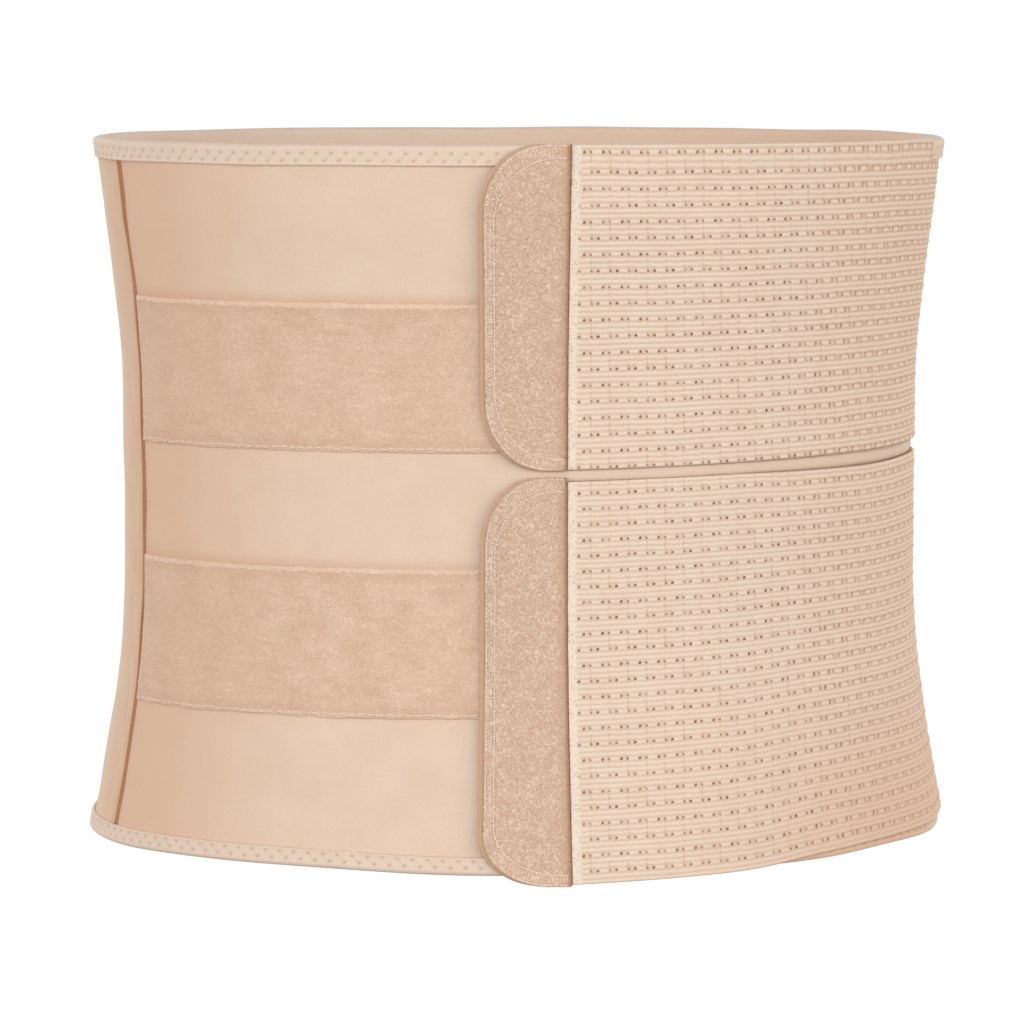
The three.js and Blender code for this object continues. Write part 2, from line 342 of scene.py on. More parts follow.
def end_faces(index, levels, lifts, split):
    """Triangles that close an end of a piece, between the first points of its loop and the rest."""
    def chain(part):
        run = lengths_along(levels[part], lifts[part])
        return index[part], run / run[-1]

    near, near_run = chain(slice(0, split))
    far, far_run = chain(slice(None, split - 1, -1))
    faces = []
    i = j = 0
    while i + 1 < len(near) or j + 1 < len(far):
        if j + 1 == len(far) or (i + 1 < len(near) and near_run[i + 1] <= far_run[j + 1]):
            faces.append((near[i], near[i + 1], far[j]))
            i += 1
        else:
            faces.append((near[i], far[j + 1], far[j]))
            j += 1
    return np.array(faces)


def padded(values, size):
    """Values for the first places of each loop, and 0 for the rest."""
    return np.pad(values, ((0, 0), (0, size - values.shape[1])))


def sweep(name, girths, lifts, levels, material, extra=None, mark=None):
    """Closed piece of cloth, a loop of places at each girth. Lifts and levels come in pairs, for the way up
    and the way back down. The mark and the extra marks are for the first places of the loop."""
    split = lifts[0].shape[1]
    lifts, levels = join(*lifts), join(*levels)
    columns, size = lifts.shape
    girth = np.broadcast_to(girths[:, None], lifts.shape)
    points = place(girth, levels, lifts).reshape(-1, 3)
    index = np.arange(columns * size).reshape(columns, size)
    following = np.roll(index, -1, axis=1)
    quads = np.stack([index[:-1], index[1:], following[1:], following[:-1]], axis=-1).reshape(-1, 4)
    first = end_faces(index[0], levels[0], lifts[0], split)
    last = end_faces(index[-1], levels[-1], lifts[-1], split)[:, ::-1]
    third = np.zeros(lifts.shape) if mark is None else padded(mark, size)
    marks = {"cloth": np.stack([girth, levels, third], axis=-1).reshape(-1, 3)}
    if extra is not None:
        marks["knit"] = np.stack([padded(values, size) for values in extra], axis=-1).reshape(-1, 3)
    return make_mesh(name, points, [quads, first, last], marks, material)


def stitches(name, starts, ends, lifts, width, height, material):
    """Short stitches of thread joined in one mesh, each from a start to an end place on the cloth."""
    starts, ends = np.asarray(starts, float), np.asarray(ends, float)
    lifts = np.broadcast_to(np.asarray(lifts, float), (len(starts),))
    along = np.linspace(0, 1, 6)
    around = np.linspace(0, TAU, 6, endpoint=False)
    run = ends - starts
    side = np.stack([-run[:, 1], run[:, 0]], axis=-1) / np.linalg.norm(run, axis=1)[:, None]
    body = np.maximum(np.sin(math.pi * along), 0.18) ** 0.5
    centre = starts[:, None, None, :] + run[:, None, None, :] * along[None, :, None, None]
    across = (width / 2) * body[None, :, None] * np.cos(around)[None, None, :]
    up = height * body[None, :, None] * (0.55 + np.sin(around)[None, None, :])
    spots = centre + across[..., None] * side[:, None, None, :]
    lift = lifts[:, None, None] + up
    points = place(spots[..., 0], spots[..., 1], lift).reshape(-1, 3)
    index = np.arange(len(points)).reshape(len(starts), len(along), len(around))
    turned = np.roll(index, -1, axis=2)
    quads = np.stack([index[:, :-1], index[:, 1:], turned[:, 1:], turned[:, :-1]], axis=-1).reshape(-1, 4)
    caps = np.concatenate([index[:, 0], index[:, -1][:, ::-1]])
    marks = {"cloth": np.stack([spots[..., 0], spots[..., 1], lift], axis=-1).reshape(-1, 3)}
    return make_mesh(name, points, [quads, caps], marks, material, outward=True)


# Helpers for materials
def tint(red, green, blue):
    """Linear colour for a colour as it shows, 0 to 255."""
    shares = (red / 255, green / 255, blue / 255)
    return tuple(c / 12.92 if c < 0.0404 else ((c + 0.055) / 1.055) ** 2.4 for c in shares) + (1.0,)


class Value:
    """A number that a material works out over the surface, with the usual signs of arithmetic."""

    def __init__(self, finish, socket):
        self.finish, self.socket = finish, socket

    def __add__(self, other):
        return self.finish.math("ADD", self, other)

    def __mul__(self, other):
        return self.finish.math("MULTIPLY", self, other)

    def __sub__(self, other):
        return self.finish.math("SUBTRACT", self, other)

    def __rsub__(self, other):
        return self.finish.math("SUBTRACT", other, self)

    def __truediv__(self, other):
        return self.finish.math("DIVIDE", self, other)

    def __pow__(self, other):
        return self.finish.math("POWER", self, other)

    def __abs__(self):
        return self.finish.math("ABSOLUTE", self)

    def fraction(self):
        return self.finish.math("FRACT", self)

    def to_whole(self):
        """How far it is from the nearest whole number."""
        return abs((self + 0.5).fraction() - 0.5)


class Finish:
    """A material whose nodes are added by short calls that give back their output."""

    def __init__(self, name, roughness, sheen):
        self.material = bpy.data.materials.new(name)
        self.material.use_nodes = True
        self.tree = self.material.node_tree
        self.tree.nodes.clear()
        self.shader = self.tree.nodes.new("ShaderNodeBsdfPrincipled")
        out = self.tree.nodes.new("ShaderNodeOutputMaterial")
        self.tree.links.new(self.shader.outputs[0], out.inputs[0])
        looks = {"Roughness": roughness, "Specular IOR Level": 0.25}
        looks.update({"Sheen Weight": sheen, "Sheen Roughness": 0.6})
        for key, look in looks.items():
            self.shader.inputs[key].default_value = look

    def node(self, kind, *values, output=0, sockets=None, **settings):
        """Adds a node with its settings and its inputs, in order or by socket, and gives back an output."""
        node = self.tree.nodes.new(kind)
        for key, setting in settings.items():
            setattr(node, key, setting)
        for key, value in (sockets or dict(enumerate(values))).items():
            self.join(value, node.inputs[key])
        return Value(self, node.outputs[output])

    def join(self, value, socket):
        if isinstance(value, Value):
            self.tree.links.new(value.socket, socket)
        elif value is not None:
            socket.default_value = value

    def math(self, operation, *values):
        return self.node("ShaderNodeMath", *values, operation=operation)

    def most(self, *values):
        total = values[0]
        for value in values[1:]:
            total = self.math("MAXIMUM", total, value)
        return total

    def sine(self, value):
        return self.math("SINE", value)

    def step(self, value, start, end):
        """Smooth step from 0 to 1 while the value goes from start to end."""
        ends = (start, end, 0.0, 1.0) if start < end else (end, start, 1.0, 0.0)
        return self.node("ShaderNodeMapRange", value, *ends, interpolation_type="SMOOTHSTEP")

    def mark(self, name):
        """The three numbers of a mark on the cloth, and the whole as a vector."""
        whole = self.node("ShaderNodeAttribute", output=1, attribute_name=name)
        split = self.tree.nodes.new("ShaderNodeSeparateXYZ")
        self.join(whole, split.inputs[0])
        return *(Value(self, output) for output in split.outputs), whole

    def scaled(self, vector, x, y, z=1.0):
        return self.node("ShaderNodeVectorMath", vector, (x, y, z), operation="MULTIPLY")

    def noise(self, vector, size, detail=2.0, distortion=0.0):
        sockets = {"Vector": vector, "Scale": 1 / size, "Detail": detail, "Distortion": distortion}
        return self.node("ShaderNodeTexNoise", sockets=sockets)

    def curl(self, vector, size, thinness):
        """Winding hairlines of pile, 1 along them and 0 between."""
        spread_out = abs(self.noise(vector, size, 1.0, 1.3) + -0.5)
        return self.most(1.0 - spread_out * (thinness * 2), 0.0)

    def blend(self, share, first, second):
        """Mix of two colours. These three sockets and this output are the node's own for colours."""
        sockets = {0: share, 6: first, 7: second}
        return self.node("ShaderNodeMix", output=2, sockets=sockets, data_type="RGBA")

    def done(self, colour, height):
        """Gives the shader its colour and its relief, a height in millimetres."""
        self.join(colour, self.shader.inputs["Base Color"])
        relief = self.node("ShaderNodeBump", sockets={"Strength": 1.0, "Distance": MM, "Height": height})
        self.join(relief, self.shader.inputs["Normal"])
        return self.material


# Finishes
PANEL_LIGHT = tint(229, 207, 188)
PANEL_WARM = tint(222, 194, 171)
SIDE_SHADE_WARM = tint(220, 180, 148)
SLIT_SHADE_WARM = tint(222, 199, 178)
HEM_LIGHT = tint(231, 211, 194)
HEM_WARM = tint(222, 198, 177)
SEAM_BROWN = tint(172, 122, 88)
SEAM_LIGHT = tint(192, 146, 114)
LOOP_LIGHT = tint(237, 208, 184)
LOOP_WARM = tint(208, 172, 144)
LOOP_SIDE_SHADE = tint(220, 180, 149)
TAB_LIGHT = tint(248, 223, 202)
TAB_WARM = tint(200, 160, 132)
ELASTIC_LIGHT = tint(236, 215, 197)
ELASTIC_WARM_SHADE = tint(233, 195, 164)
ELASTIC_TONE_AND_GROOVE_SHADE = tint(202, 170, 145)
ELASTIC_LOW_SHADE = tint(222, 178, 144)
EYELET_SHADE_BROWN = tint(134, 86, 54)
SELVAGE_LIGHT = tint(240, 224, 208)
SELVAGE_SHADE = tint(216, 188, 164)
HOOK_BROWN = tint(204, 166, 136)
DITCH_SHADE_BROWN = tint(174, 128, 97)
SHADE_AND_STREAK_BROWN = tint(204, 164, 134)
DIMPLE_SHADE_BROWN = tint(186, 148, 120)
THREAD_LIGHT = tint(240, 220, 202)
THREAD_SHADE = tint(214, 186, 163)
LOOP_THREAD = tint(230, 200, 176)
TAB_THREAD = tint(230, 202, 180)


def panel_finish():
    """Smooth matt stretch knit with fine upright wales, with the seam's brown and painted shade beside the
    side seam, painted shade along the loop strips, in the slit between the straps and towards the body's
    sides.
    The third number of the mark is 1 in the slit between the straps."""
    f = Finish("panel_cloth", 0.85, 0.12)
    girth, level, slit, where = f.mark("cloth")
    mottle = f.noise(where, 14.0, 4.0)
    grain = f.noise(f.scaled(where, 1.0, 0.45), 0.55)
    wale = f.sine(girth * (TAU / 0.62))
    course = f.sine(level * (TAU / 0.5))
    colour = f.blend(mottle * 1.1 + grain * 0.6 - 0.4, PANEL_LIGHT, PANEL_WARM)
    back_seam = WHOLE_GIRTH - SEAM_REACH
    # Painted warm shade towards the body's sides, where the cloth turns away from the light
    side = f.step(girth, -55.0, -135.0) + f.step(girth, 560.0, back_seam - 4)
    colour = f.blend(side * 0.65, colour, SIDE_SHADE_WARM)
    # Painted warm shade on the cloth in the slit between the straps
    colour = f.blend(slit * 0.8, colour, SLIT_SHADE_WARM)
    # Painted shade on the cloth along the edges of the loop strips
    under = f.step(girth, STRIP_START - 0.5, STRIP_START + 2) * f.step(girth, 18.0, 14.0)
    for middle in STRIP_LEVELS.values():
        above = level - (middle + STRIP_WIDTH / 2)
        below = (middle - STRIP_WIDTH / 2) - level
        shade_above = f.step(above, 4.5, -0.5) * f.step(above, -2.0, 0.0)
        shade_below = f.step(below, 1.4, -0.5) * f.step(below, -2.0, 0.0) * 0.3
        colour = f.blend((shade_above + shade_below) * under * 0.55, colour, SHADE_AND_STREAK_BROWN)
    # Brown streaks down the rolled edge behind the seam
    behind = f.step(girth, back_seam - 22, back_seam - 8)
    streak = f.noise(f.scaled(where, 1.0, 0.08), 1.3)
    colour = f.blend(behind * f.step(streak, 0.42, 0.72) * 0.45, colour, SHADE_AND_STREAK_BROWN)
    # Painted shade in the crease beside the seam, and the seam's brown on the cloth at its edge, partly
    # painted shade of the sunk seam
    for seam in (-SEAM_REACH, back_seam):
        away = abs(girth - seam)
        colour = f.blend(f.step(away, 6.5, 1.5) * 0.25, colour, SHADE_AND_STREAK_BROWN)
        colour = f.blend(f.step(away, 2.2, 1.2), colour, SEAM_BROWN)
    return f.done(colour, wale * 0.010 + course * 0.006 + grain * 0.05 + mottle * 0.12)


def hem_finish():
    """Soft folded binding, with a crosswise grain. The third number of the mark is 1 in the needle holes."""
    f = Finish("hem_cloth", 0.85, 0.12)
    girth, level, dip, where = f.mark("cloth")
    mottle = f.noise(where, 9.0, 3.0)
    grain = f.noise(f.scaled(where, 0.7, 1.6), 0.6)
    colour = f.blend(mottle * 0.8 + grain * 0.5 - 0.2, HEM_LIGHT, HEM_WARM)
    # Painted warm shade at the strap side, where the belt turns from the light, and painted shade below the
    # lower strap
    strap_side_shade = f.step(girth, 150.0, 170.0) * f.step(girth, 420.0, 300.0)
    colour = f.blend(strap_side_shade * 0.4, colour, ELASTIC_WARM_SHADE)
    under_strap_shade = f.step(girth, WHOLE_GIRTH - 5, WHOLE_GIRTH + 30) * f.step(level, 0.0, -40.0)
    colour = f.blend(under_strap_shade * 0.8, colour, ELASTIC_WARM_SHADE)
    # Painted shade in the needle dimples at the zigzag's turns
    colour = f.blend(dip * 0.75, colour, DIMPLE_SHADE_BROWN)
    return f.done(colour, grain * 0.05 + mottle * 0.1)


def seam_finish():
    """Sunk seam of brown thread."""
    f = Finish("seam_thread", 0.9, 0.0)
    _, level, _, where = f.mark("cloth")
    twist = f.sine(level * (TAU / SEAM_TWIST))
    fluff = f.noise(where, 0.8)
    colour = f.blend(twist * 0.1 + fluff * 0.5, SEAM_BROWN, SEAM_LIGHT)
    return f.done(colour, twist * 0.06 + fluff * 0.1)


def loop_finish():
    """Short pile of fine loops, pressed and light along the sewn edges, with painted shade just inside them
    and towards the body's side.
    """
    f = Finish("loop_pile", 0.95, 0.25)
    girth, level, _, where = f.mark("cloth")
    mottle = f.noise(where, 11.0, 3.0)
    curl = f.curl(where, 1.5, 6.0)
    fluff = f.noise(where, 0.6, 2.0, 0.6)
    streak = f.noise(f.scaled(where, 0.3, 1.0), 2.4)
    share = mottle * 0.8 + curl * 0.40 + fluff + streak * 0.5 - 0.85
    colour = f.blend(share, LOOP_WARM, LOOP_LIGHT)
    # Painted shade towards the body's side
    colour = f.blend(f.step(girth, -55.0, -135.0) * 0.45, colour, LOOP_SIDE_SHADE)
    upper, lower = (abs(level - middle) for middle in STRIP_LEVELS.values())
    edge = STRIP_WIDTH / 2 - f.math("MINIMUM", upper, lower)
    # Painted shade just inside the sewn edges
    colour = f.blend(f.step(edge, 6.0, 2.2) * f.step(edge, 1.4, 2.2) * 0.30, colour, SHADE_AND_STREAK_BROWN)
    colour = f.blend(f.step(edge, 2.0, 1.2) * (fluff * 0.6 + 0.2), colour, LOOP_LIGHT)
    return f.done(colour, curl * 0.06 + fluff * 0.12)


def plush_finish():
    """Dense curly pile, with painted shade in the ditch beside the strap and on the pile that leads down into
    it. The third number of the mark is 1 in the ditch beside the strap.
    """
    f = Finish("tab_pile", 0.95, 0.3)
    girth, _, ditch, where = f.mark("cloth")
    mottle = f.noise(where, 7.0)
    curl = f.most(f.curl(where, 1.7, 7.0), f.curl(where, 1.0, 6.0) * 0.8)
    fluff = f.noise(where, 0.55, 2.0, 0.8)
    colour = f.blend(mottle * 0.15 + curl * 0.62 + fluff * 0.75 - 0.28, TAB_WARM, TAB_LIGHT)
    # Painted shade on the pile leading down into the ditch, and in the ditch itself
    ditch_shading = f.step(girth, TAB_END - 4.5, TAB_END) ** 1.3
    colour = f.blend(ditch_shading * 0.75, colour, SHADE_AND_STREAK_BROWN)
    colour = f.blend(ditch * 0.9, colour, DITCH_SHADE_BROWN)
    return f.done(colour, curl * 0.10 + fluff * 0.14)


def hook_finish():
    """Hook tape: rows of tiny hooks on a brown woven ground."""
    f = Finish("hook_tape_ground", 0.6, 0.05)
    girth, level, _, where = f.mark("cloth")
    hooks = f.sine(girth * (TAU / HOOK_PITCH)) * f.sine(level * (TAU / HOOK_ROW))
    fluff = f.noise(where, 1.6, 3.0)
    grain = f.noise(where, 0.6)
    colour = f.blend(hooks * 0.12 + grain * 0.4 + fluff * 0.8 - 0.35, HOOK_BROWN, THREAD_SHADE)
    return f.done(colour, hooks * 0.05 + grain * 0.08 + fluff * 0.15)


def thread_finish(name, light, shade):
    """Spun sewing thread."""
    f = Finish(name, 0.7, 0.1)
    girth, level, lift, where = f.mark("cloth")
    twist = f.sine(girth * (TAU / 0.7) + level * (TAU / 0.7) + lift * (TAU / 0.5))
    return f.done(f.blend(twist * 0.2 + f.noise(where, 1.5) * 0.7, light, shade), twist * 0.03)


def elastic_finish():
    """Ribbed elastic with pairs of eyelets, with painted shade in the eyelets, grooves and dents, on the end
    beside the tab, towards the body's side and low down there. The knit mark is the eyelet period, the row,
    and how much of both shows."""
    f = Finish("ribbed_elastic", 0.85, 0.1)
    girth, level, _, where = f.mark("cloth")
    period, row, shown, _ = f.mark("knit")
    # Towards the body's side the eyelets open into upright slots and the ribs break up into beads
    opened = f.step(girth, 82.0, 128.0)
    nearest = f.math("FLOOR", row + 0.5)
    odd = (nearest * 0.5).fraction() * 2.0
    up = (row - nearest) * ROW_PITCH
    stray = f.noise(f.scaled(where, 1.0, 1.0, 0.0), 2.2, 1.0)

    def eyelet(shift, slant, width, height):
        """Soft spot of an eyelet, for its dip and its painted shade, 1 inside and 0 outside, and the number
        of its period.
        """
        moved = period - shift
        number = f.math("FLOOR", moved + 0.5)
        across = (moved - number) * EYELET_PERIOD + up * slant + stray * 0.3 - 0.15
        tall = (up + opened * 0.25) / (opened * 0.62 + height)
        return f.step(abs(across * (1 / width)) ** 2.0 + abs(tall) ** 2.0, 1.7, 0.2), number

    strong, number = eyelet(odd * STRONG_SHIFT_ODD, 0.1, 0.46, 0.47)
    weak, _ = eyelet(odd * WEAK_SHIFT_ODD + WEAK_SHIFT, -0.3, 0.38, 0.46)
    cell = f.node("ShaderNodeCombineXYZ", number, nearest)
    chance = f.node("ShaderNodeTexWhiteNoise", cell, noise_dimensions="3D")
    depth = chance * 0.35 + 0.62
    hole = f.most(strong * depth, weak * depth * 0.8) * shown * (opened * -0.52 + 1.0)
    # Between the two eyelets of a pair the knit lies lower, with painted shade there
    gap = (period + odd * -PAIR_SHIFT_ODD - PAIR_SHIFT).to_whole() * EYELET_PERIOD
    pair = f.step(gap, 1.7, 0.9) * f.step(abs(up), 0.95, 0.45)
    # Faint upright line from the pairs of an even row down to the next row
    below = (row * 0.5).fraction()
    line = f.step((period - (WEAK_SHIFT + TIE_SHIFT)).to_whole(), 0.075, 0.01)
    line = line * f.step(below, 0.04, 0.12) * f.step(below, 0.5, 0.42)
    groove = f.step(abs((row * float(RIBS) + 0.5).fraction() * 2.0 - 1.0), 0.35, 1.0) * shown
    # Arched shade over the raised knuckles of the opened rows
    arch = abs(up + 1.35 + (EYELET_PERIOD / 2 - gap) ** 2.0 * -0.24)
    fade = (odd * 0.7 + 0.3) * (f.step(girth, 160.0, 200.0) * -0.5 + 1.0)
    arch = f.step(arch, 0.6, 0.05) * f.step(gap, 0.6, 1.0) * opened * fade
    bead = f.step((period * 2.0 - 0.35).to_whole(), 0.16, 0.02) * f.step(girth, 115.0, 170.0)
    broken = line * f.step(stray, 0.3, 0.75)
    # Painted shade in the dents of the knit
    dents = f.most(pair * (opened * 0.15 + 0.5), broken * 0.8, arch * 0.9, bead * 0.7) * shown
    mottle = f.noise(where, 9.0, 3.0)
    grain = f.noise(f.scaled(where, 1.3, 1.0), 0.55)
    knots = f.sine(girth * (TAU / 0.78) + row * (TAU * 1.5))
    right = f.step(girth, 80.0, 150.0)
    # Painted shade in the grooves between ribs and in the dents, mixed with the knit's own mottled tone
    share = groove * (right * 0.3 + 0.46) + right * -0.14 + dents * 0.64
    share = share + mottle * 0.35 + grain * 0.70 + knots * 0.07 - 0.46
    colour = f.blend(share, ELASTIC_LIGHT, ELASTIC_TONE_AND_GROOVE_SHADE)
    # Painted warm shade towards the body's side
    colour = f.blend(f.step(girth, 70.0, 185.0) * 0.38, colour, ELASTIC_WARM_SHADE)
    # Painted shade low down towards the side
    low = f.step(level, -50.0, -115.0) * f.step(girth, 30.0, 130.0) * f.step(girth, 300.0, 200.0)
    colour = f.blend(low * 0.45, colour, ELASTIC_LOW_SHADE)
    # Fuzzy selvage, speckled with darker thread
    speck = f.noise(where, 0.75, 2.0, 1.0)
    fuzz = f.blend(f.step(speck, 0.5, 0.68), SELVAGE_LIGHT, SELVAGE_SHADE)
    selvage = 1.0 - shown
    colour = f.blend(selvage, colour, fuzz)
    # Painted shade in the eyelets
    colour = f.blend(hole, colour, EYELET_SHADE_BROWN)
    # Painted shade on the strap's end wall beside the tab
    colour = f.blend(f.step(girth, STRAP_START + 0.3, STRAP_START + 0.1), colour, SEAM_LIGHT)
    height = groove * -0.06 + dents * -0.07 + hole * -0.30 + grain * 0.10 + knots * 0.012
    return f.done(colour, height + speck * selvage * 0.10)


# Pieces of cloth
def panel(name, start, end, material):
    """One of the two smooth panels, from the side seam round to under the straps."""
    girths = start + spread(end - start, 2.1, 1.2)
    top = HALF_HEIGHT - TUCK
    foot = foot_level(girths)[:, None] + TUCK
    at_strap = np.clip(girths, STRAP_START, STRAP_REACH)
    slit = ((strap_edge(at_strap, 2) + strap_edge(at_strap, 3)) / 2)[:, None]
    low = (spread(200, 3.0, 2.0) / 200)[None, :-4]
    high = (spread(200, 3.2, 2.0) / 200)[None, 4:]
    band = np.linspace(-SLIT_BAND, SLIT_BAND, 15)[None, 1:-1]
    lower = foot + (slit - SLIT_BAND - foot) * low / low[:, -1:]
    upper = slit + SLIT_BAND + (top - slit - SLIT_BAND) * (high - high[:, :1]) / (1 - high[:, :1])
    outer_levels = join(lower, slit + band, upper)
    inner_levels = foot + (top - foot) * np.linspace(1, 0, 24)[None, :]
    ends = np.minimum(girths - start, end - girths)[:, None]
    at = girths[:, None]
    relief = 0.10 * waves(at, outer_levels, 46, 3) + 0.035 * waves(at, outer_levels, 13, 4)
    # The cloth bulges a little through the slit between the straps
    strapped = ease(girths, -4, 12) * (1 - ease(girths, SETTLE_START - 8, SETTLE_END))
    bulge = bump(outer_levels - slit, 2.5, 4) * strapped[:, None]
    outer = PANEL_THICKNESS - rim_drop(ends, 1.2, 0.7) + np.clip(relief, -0.25, 0.25) + 2.2 * bulge
    inner = 0.04 * waves(at, inner_levels, 40, 5)
    return sweep(name, girths, (outer, inner), (outer_levels, inner_levels), material, mark=bulge)


def side_seam(material):
    """Sunk line of thread where the panels meet."""
    half = SEAM_WIDTH / 2 - 0.02
    girths = -SEAM_REACH + np.linspace(-half, half, 9)
    top = HALF_HEIGHT - TUCK
    foot = foot_level(girths)[:, None] + TUCK
    share = np.linspace(0, 1, 300)[None, :]
    levels = foot + (top - foot) * share
    crown = SEAM_CROWN * np.cos((girths + SEAM_REACH) / half * math.pi / 2)[:, None]
    outer = SEAM_FACE + (crown + 0.05 * np.sin(levels / SEAM_TWIST * TAU))
    back = levels[:, ::-12]
    return sweep("side_seam_thread", girths, (outer, np.zeros(back.shape)), (levels, back), material)


def hem_lift(girth):
    """Lift of the top hem's outer leg: over the strap where that is sewn in, else over the panel."""
    over_strap = strap_lift(girth) + STRAP_THICKNESS + HEM_CLEARANCE
    settled = over_strap + (ON_PANEL - over_strap) * ease(girth, STRAP_REACH + 0.3, STRAP_REACH + HEM_SETTLE)
    covered = (girth > FRONT_REACH) & (girth < STRAP_REACH + HEM_SETTLE)
    return np.where(covered, settled, ON_PANEL)


def flat_lift(girth):
    """Lift of the bottom hem's outer leg, over the panel all round."""
    return np.full(np.shape(girth), ON_PANEL)


def zigzag(girth, near, far):
    """Distance from the belt's edge of the zigzag line at a girth."""
    phase = frac(girth / ZIGZAG_PERIOD)
    return near + (far - near) * (1 - np.abs(2 * phase - 1))


def hem(name, height, side, edge_at, lift_at, material):
    """Folded binding: a crowned outer leg with a stitched ditch and a rolled edge, a fold, an inner leg."""
    start = FRONT_REACH + END_GAP
    end = start + WHOLE_GIRTH - END_GAP
    rim = start + np.array([0, 0.15, 0.4])
    girths = join(rim, np.arange(start + 0.8, end - 0.2, ZIGZAG_PERIOD / 7), [end])
    at = girths[:, None]
    edge = edge_at(at) + 0.12 * waves(at, at * 0, 60, 8)
    lift = lift_at(at)
    scale = height / HEM_TOP_HEIGHT
    near, far = ZIGZAG_NEAR * scale, ZIGZAG_FAR * scale
    # Outer leg: distance from the belt's edge, from the leg's end up to the fold
    leg_end = height - np.array([0.0, 0.12, 0.3, 0.55, 0.8, 1.05]) * scale
    ditch = np.linspace(far + 0.2, near - 0.2, 10)
    distance = join(leg_end, ditch, np.linspace(near - 0.5, FOLD_ROUND, 3))[None, :]
    roll = 0.16 * bump(distance - (height - 0.5 * scale), 0.35 * scale)
    crown = 0.10 * np.sin(np.clip((near - distance) / near, 0, 1) * math.pi * 0.5)
    draw = bump(distance - zigzag(at, near, far), 0.55) * (distance > near - 0.5) * (distance < far + 0.5)
    turn = np.abs(frac(at / ZIGZAG_PERIOD * 2 + 0.5) - 0.5) * ZIGZAG_PERIOD / 2
    at_turn = np.where(frac(at / ZIGZAG_PERIOD + 0.25) < 0.5, near, far)
    dimple = bump(turn, 0.5) * bump(distance - at_turn, 0.5)
    pucker = 0.04 * np.sin(at / ZIGZAG_PERIOD * TAU) * ease(distance, 1.0, near)
    outer = lift + HEM_THICKNESS - 0.2 + roll + crown - 0.07 * draw - 0.20 * dimple + pucker
    outer = outer - rim_drop(height - distance, 0.5, 0.4) - rim_drop(at - start, 0.8, 0.6)
    outer_levels = edge - side * np.broadcast_to(distance, outer.shape)
    # Fold
    angle = np.linspace(0, math.pi, 9)[None, :]
    inner = -LAYER_GAP - HEM_THICKNESS
    face = outer[:, -1:]
    fold_lifts = (face + inner) / 2 + (face - inner) / 2 * np.cos(angle)
    fold_levels = edge - side * FOLD_ROUND * (1 - np.sin(angle))
    # Inner leg, then back between the cloth of the panel and the binding
    inner_distance = np.linspace(FOLD_ROUND, height, 6)[None, 1:]
    inner_levels = edge - side * inner_distance
    inner_lifts = inner - 0.1 * np.sin(inner_distance / height * math.pi) + np.zeros(inner_levels.shape)
    leg, fold = edge - side * height, edge - side * HEM_THICKNESS
    gap = np.full(lift.shape, -LAYER_GAP)
    pressed = lift - PRESSED
    lifts = [join(outer, fold_lifts[:, 1:], inner_lifts), join(gap, gap, pressed, pressed)]
    levels = [join(outer_levels, fold_levels[:, 1:], inner_levels), join(leg, fold, fold, leg)]
    mark = padded(dimple, sum(part.shape[1] for part in lifts))
    if side < 0:
        lifts, levels = ([part[:, ::-1] for part in parts[::-1]] for parts in (lifts, levels))
        mark = mark[:, ::-1]
    return sweep(name, girths, lifts, levels, material, mark=mark)


def hem_stitches(name, height, side, edge_at, lift_at, material):
    """Zigzag of thread along a hem's outer leg."""
    scale = height / HEM_TOP_HEIGHT
    start = FRONT_REACH + END_GAP + ZIGZAG_PERIOD
    first = math.ceil(start / ZIGZAG_PERIOD)
    last = math.floor((start + WHOLE_GIRTH - 3 * ZIGZAG_PERIOD) / ZIGZAG_PERIOD)
    turns = np.arange(first, last, 0.5) * ZIGZAG_PERIOD
    away = zigzag(turns, ZIGZAG_NEAR * scale, ZIGZAG_FAR * scale)
    levels = edge_at(turns) - side * away
    points = np.stack([turns, levels], axis=1)
    run = points[1:] - points[:-1]
    middle = (turns[1:] + turns[:-1]) / 2
    lifts = lift_at(middle) + HEM_THICKNESS - 0.34
    return stitches(name, points[:-1] + run * 0.12, points[1:] - run * 0.12, lifts, 0.5, 0.09, material)


def loop_strip(name, level, material):
    """Loop tape: a low pile, thicker along its sewn edges."""
    girths = STRIP_START + spread(STRIP_END - STRIP_START, 0.85, 1.0)
    foot, top = level - STRIP_WIDTH / 2, level + STRIP_WIDTH / 2
    levels = foot + spread(STRIP_WIDTH, 0.85, 1.0)
    at = girths[:, None]
    wander = 0.09 * waves(at, at * 0, 9, 12)
    rows = levels[None, :] + at * 0
    edge = np.minimum(rows - foot, top - rows)
    ends = np.minimum(at - STRIP_START, STRIP_END - at)
    pile = 0.18 * curls(at, rows, 2.6, 13) + 0.05 * waves(at, rows, 19, 14)
    sewn = 0.05 * bump(edge - 2.3, 0.5)
    outer = STRIP_FACE + pile - sewn - rim_drop(np.minimum(edge, ends), 2.4, 1.15)
    shift = wander * np.exp(-edge / 1.5) * np.sign(rows - level)
    back_levels = rows[:, ::-6]
    back = np.full(back_levels.shape, ON_PANEL - PRESSED)
    return sweep(name, girths, (outer, back), (rows + shift, back_levels), material)


def strip_stitches(name, level, material):
    """Row of beads of thread just inside both edges of a loop strip."""
    rng = np.random.default_rng(21)
    marks = np.arange(STRIP_START + 2, 16, BEAD_PERIOD)
    starts, ends = [], []
    for edge, inward in ((level + STRIP_WIDTH / 2, -1), (level - STRIP_WIDTH / 2, 1)):
        for girth in marks:
            slip = rng.uniform(-0.25, 0.25, 3)
            at = edge + inward * (BEAD_INSET + slip[0])
            starts.append((girth + slip[1], at))
            ends.append((girth + BEAD_LENGTH + slip[2], at + 0.8 * slip[1]))
    return stitches(name, starts, ends, STRIP_FACE - 0.1, 0.9, 0.20, material)


